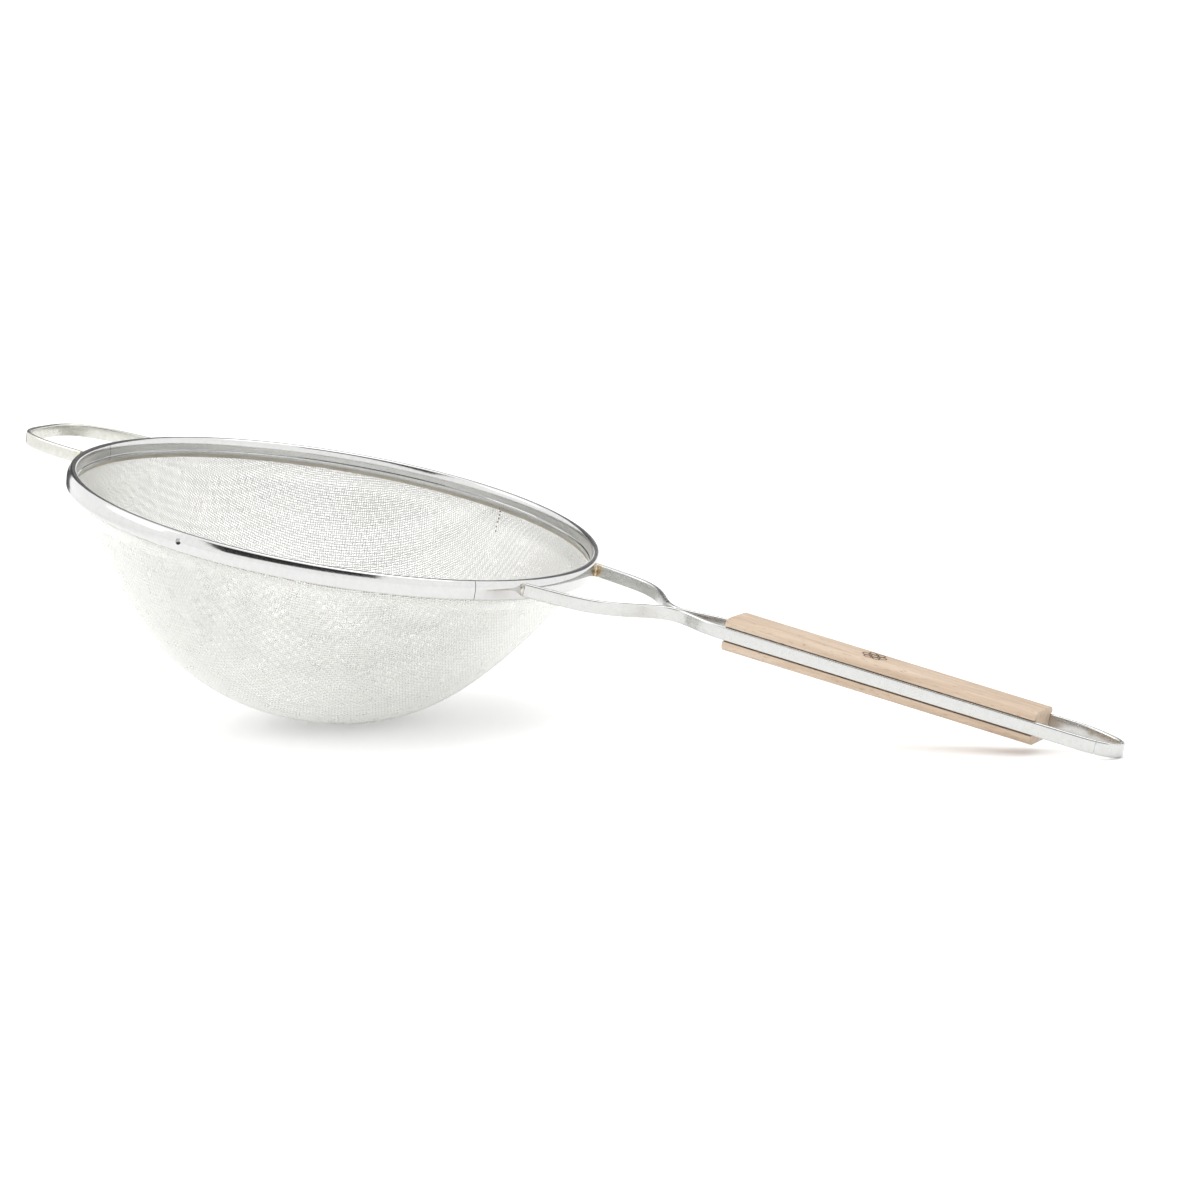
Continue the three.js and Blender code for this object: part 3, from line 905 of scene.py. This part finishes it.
dot_metal, tree, shader = finish("weld dots", (0.30, 0.24, 0.17), 0.9, 0.45)
grime = noise(tree, place_of(tree, LAID), 1500.0, 3.0)
tree.links.new(mix(tree, between(tree, grime, 0.35, 0.65, 0, 1), (0.30, 0.24, 0.17), (0.16, 0.12, 0.08)),
               shader.inputs["Base Color"])
bump(tree, shader, grime, 0.00004)

# %% [markdown]
# ## Beech
# Beech is pale and even, with straight grain, short brown flecks where the rays are cut, and
# long faint bands of warmer wood. The grain is a cloud pattern stretched along the grip; the
# flecks are a finer one, kept only where it is darkest. Round the burned cells the wood is
# lightly scorched.

# %% Wood
beech, tree, shader = finish("unvarnished beech", (0.82, 0.66, 0.50), 0.0, 0.55)
own = place_of(tree, GRIP_PLACE)
bands = noise(tree, place_of(tree, GRIP_PLACE, (0.07, 1, 1)), 260.0, 5.0, 0.6)
fibres = noise(tree, place_of(tree, GRIP_PLACE, (0.035, 1, 1)), 2600.0, 3.0, 0.6)
flecks = noise(tree, place_of(tree, GRIP_PLACE, (0.16, 1, 1)), 1500.0, 2.0, 0.5)
wood = ramp(tree, bands, [(0.32, (0.42, 0.31, 0.22)), (0.5, (0.51, 0.395, 0.295)),
                          (0.68, (0.57, 0.465, 0.365))])
wood = mix(tree, between(tree, fibres, 0.35, 0.75, 0.0, 0.35), wood, (0.33, 0.23, 0.155))
wood = mix(tree, between(tree, flecks, 0.62, 0.70, 0.0, 0.55), wood, (0.24, 0.15, 0.09))
split = node(tree, "ShaderNodeSeparateXYZ", [("Vector", own)])
along = math_node(tree, "POWER", math_node(tree, "SUBTRACT", split.outputs["X"], MARK_X), 2.0)
across = math_node(tree, "POWER", split.outputs["Y"], 2.0)
away = math_node(tree, "SQRT", math_node(tree, "ADD", along, across))
scorch = between(tree, away, 4.5 * MM, 7.0 * MM, 0.3, 0.0)
on_top = between(tree, split.outputs["Z"], GRIP_TOP - 0.4 * MM, GRIP_TOP + 0.4 * MM, 0.0, 1.0)
wood = mix(tree, math_node(tree, "MULTIPLY", scorch, on_top), wood, (0.30, 0.16, 0.07))
tree.links.new(wood, shader.inputs["Base Color"])
tree.links.new(between(tree, fibres, 0.3, 0.7, 0.48, 0.64), shader.inputs["Roughness"])
bump(tree, shader, math_node(tree, "ADD", fibres, math_node(tree, "MULTIPLY", flecks, 0.6)), 0.00008)

char, tree, shader = finish("charred wood", (0.06, 0.035, 0.02), 0.0, 0.8)
where = place_of(tree, GRIP_PLACE, (0.3, 1, 1))
depth = noise(tree, where, 1800.0, 4.0)
tree.links.new(ramp(tree, depth, [(0.4, (0.010, 0.006, 0.004)), (0.65, (0.04, 0.02, 0.012)),
                                  (0.85, (0.14, 0.07, 0.035))]), shader.inputs["Base Color"])
tree.links.new(between(tree, depth, 0.3, 0.7, 0.9, 0.7), shader.inputs["Roughness"])
bump(tree, shader, depth, 0.00006)

# %% [markdown]
# ## Give each piece its finish and its place in the frame
# A piece rides on the body, gets its finish, and stands for the plain solid that the frame
# carries in its place.

# %% Ride and replace
def hand_in(piece, material, slot, *nodes):
    """Gives a piece its finish, its body and the CAD nodes it stands for; slot is not used."""
    piece.data.materials.clear()
    piece.data.materials.append(material)
    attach(piece, "root")
    if nodes:
        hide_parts(*nodes)


hand_in(near_rim, rim_steel, "rim", "rim_near")
hand_in(far_rim, rim_steel, "rim", "rim_far")
hand_in(hem, hem_metal, "coarse_cloth")
hand_in(near_strap, strap_steel, "strap", "strap_near")
hand_in(far_strap, strap_steel, "strap", "strap_far")
hand_in(rest_loop, loop_steel, "strap", "front_rest_loop")
hand_in(grip, beech, "wood", "wood_grip")
hand_in(burned_cells, char, "wood")
hand_in(seam_dots, dot_metal, "fine_cloth")
for bead in welds:
    hand_in(bead, weld_steel, "strap")
for cloth in coarse:
    hand_in(cloth, coarse_wire, "coarse_cloth", "coarse_cloth")
for cloth in fine:
    hand_in(cloth, fine_wire, "fine_cloth", "fine_cloth")

# %% [markdown]
# ## Floor and light
# Bright steel shows what surrounds it. A white room makes it white, and a few dark cards held
# out of view draw the dark lines that give it shape. The floor is one pale sheet.

# %% Floor, sky and lamps
nobody()
bpy.ops.mesh.primitive_circle_add(vertices=96, radius=30, fill_type="NGON", location=(0, 0, -0.0004))
floor = bpy.context.object
floor.name = "floor"
bpy.ops.object.transform_apply(location=True)
floor_finish, tree, shader = finish("pale floor", (0.93, 0.93, 0.93), 0.0, 0.7)
shader.inputs["Specular IOR Level"].default_value = 0.1
floor.data.materials.append(floor_finish)

sky = bpy.data.worlds.new("white room")
sky.use_nodes = True
sky.node_tree.nodes["Background"].inputs["Color"].default_value = (1, 1, 1, 1)
sky.node_tree.nodes["Background"].inputs["Strength"].default_value = 1.38
bpy.context.scene.world = sky
bpy.context.scene.view_settings.view_transform = "Standard"


LAMP_AIM = Vector((0, 0, 0.06))


def softbox(name, place, width, height, power):
    """A large lamp that looks at the strainer."""
    lamp = bpy.data.lights.new(name, "AREA")
    lamp.shape = "RECTANGLE"
    lamp.size = width
    lamp.size_y = height
    lamp.energy = power
    holder = bpy.data.objects.new(name, lamp)
    bpy.context.scene.collection.objects.link(holder)
    holder.location = place
    holder.rotation_euler = (LAMP_AIM - Vector(place)).to_track_quat("-Z", "Y").to_euler()


softbox("softbox left", (-1.6, -0.9, 1.5), 1.2, 1.2, 9)
softbox("softbox top", (0.3, 0.6, 2.2), 1.8, 1.2, 9)


def dark_card(name, place, width, height, shade):
    """A matt card that only reflections see."""
    nobody()
    aim = (LAMP_AIM - Vector(place)).to_track_quat("-Z", "Y").to_euler()
    bpy.ops.mesh.primitive_plane_add(size=1, location=place, rotation=aim)
    card = bpy.context.object
    card.name = name
    card.scale = (width, height, 1)
    card_finish = finish(name, (shade, shade, shade), 0.0, 0.9)[0]
    card.data.materials.append(card_finish)
    card.visible_camera = False
    card.visible_shadow = False
    card.visible_diffuse = False


dark_card("card above the camera", (0.5, -1.45, 1.12), 2.4, 1.25, 0.01)
dark_card("card behind", (-0.55, 1.5, 1.0), 2.4, 1.0, 0.12)
dark_card("card at the back left", (-1.5, 1.15, 0.5), 0.7, 1.3, 0.05)
